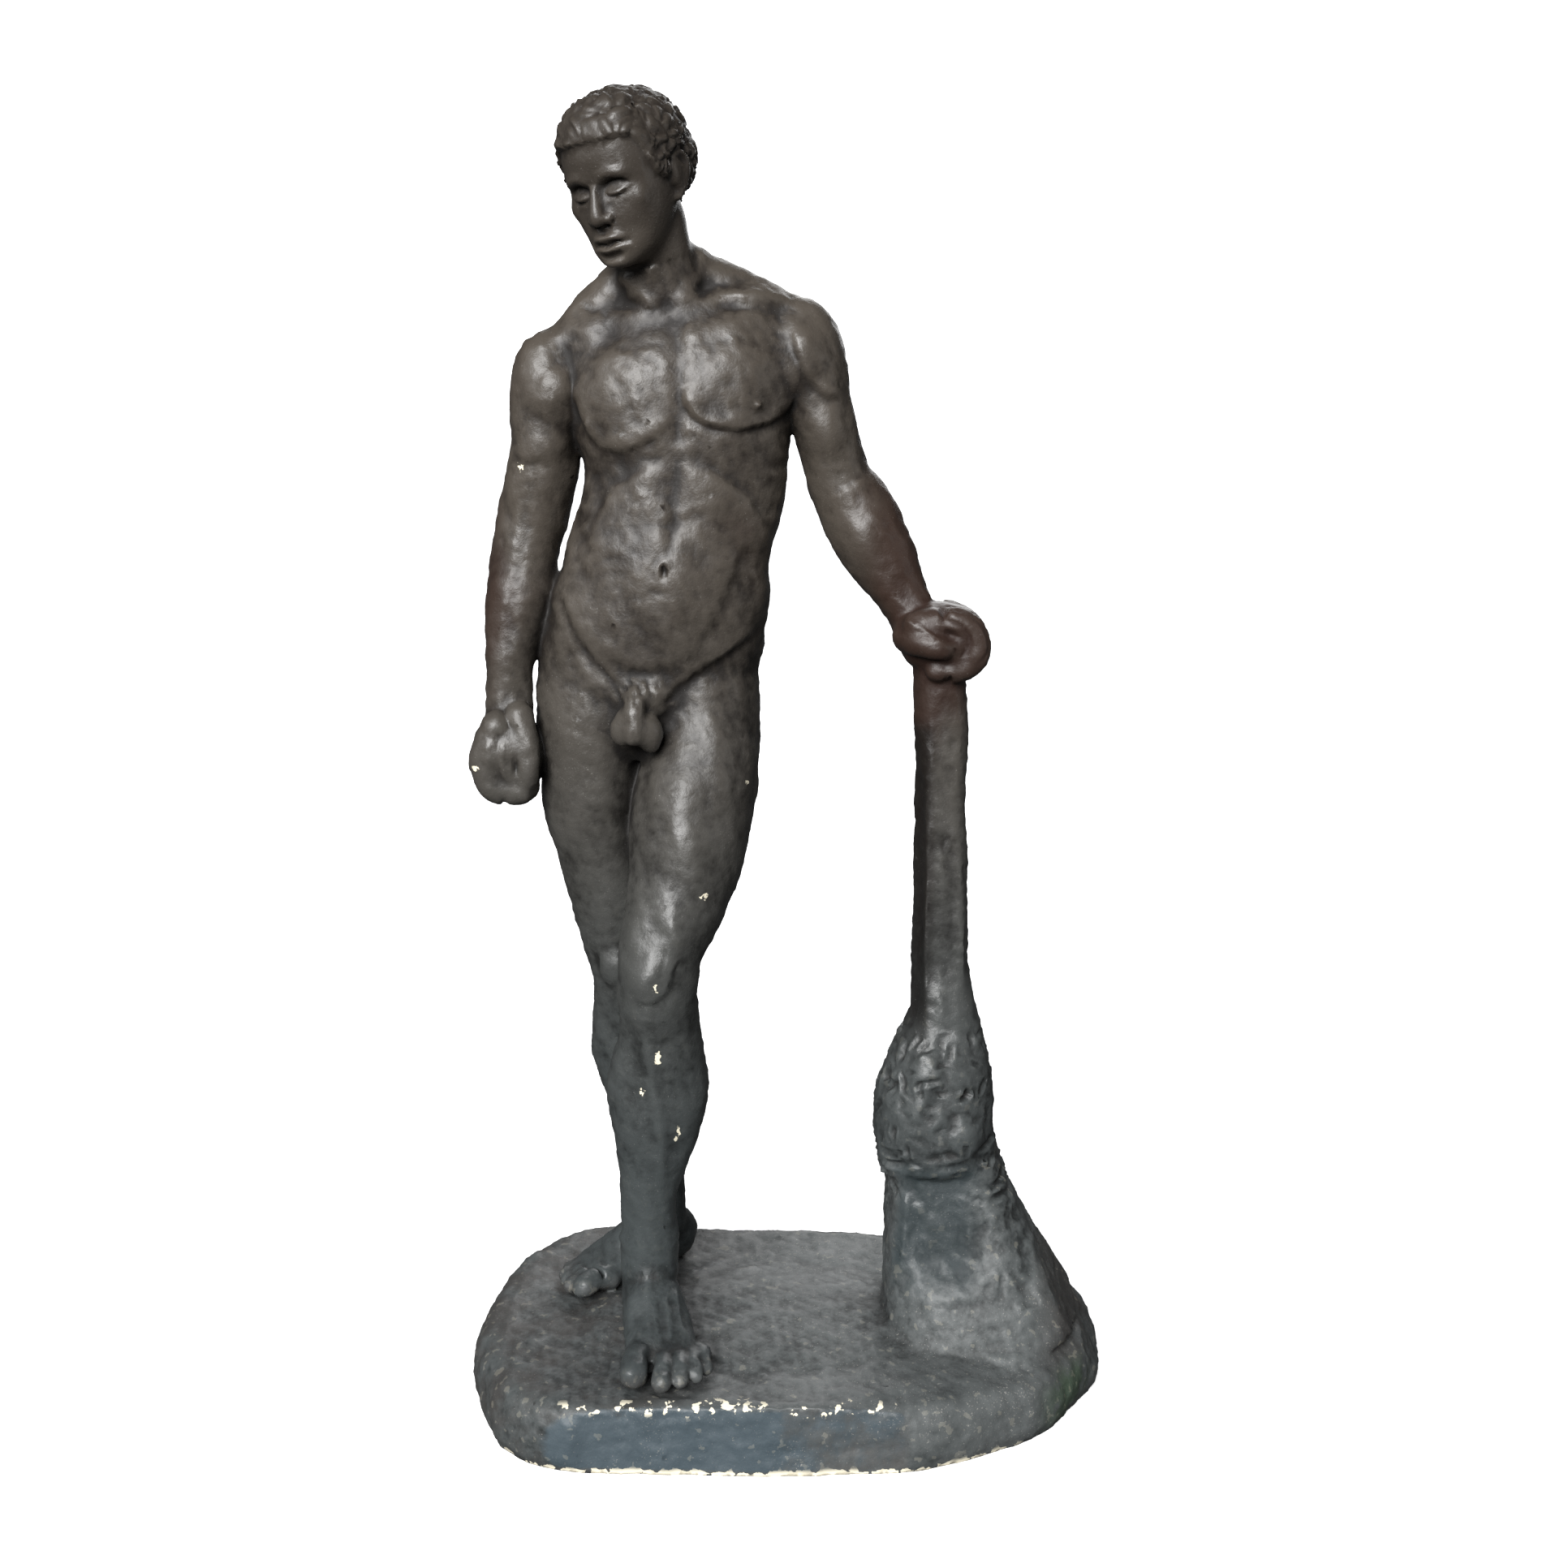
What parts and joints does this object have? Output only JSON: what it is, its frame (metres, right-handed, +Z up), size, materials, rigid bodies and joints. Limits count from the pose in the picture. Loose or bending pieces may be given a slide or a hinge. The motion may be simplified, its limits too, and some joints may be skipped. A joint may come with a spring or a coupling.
{
  "type": "plaster figure sculpture",
  "caption": "Standing male nude leaning one fist on a post that rises from a stump, cast in dark patinated plaster in one piece with its low rocky base",
  "frame": {"origin": "on the underside, under the middle of the figure's stand; the base rests on the plane z = 0", "axes": "+Z up, -Y to the side the chest and the front foot face, +X to the side of the post (the figure's own left)"},
  "size_m": [0.3774, 0.2355, 0.7445],
  "materials": {
    "plaster": "dark brown-black patina over plaster, satin"
  },
  "bodies": {
    "root": {"plaster_figure": "plaster"}
  },
  "joints": []
}
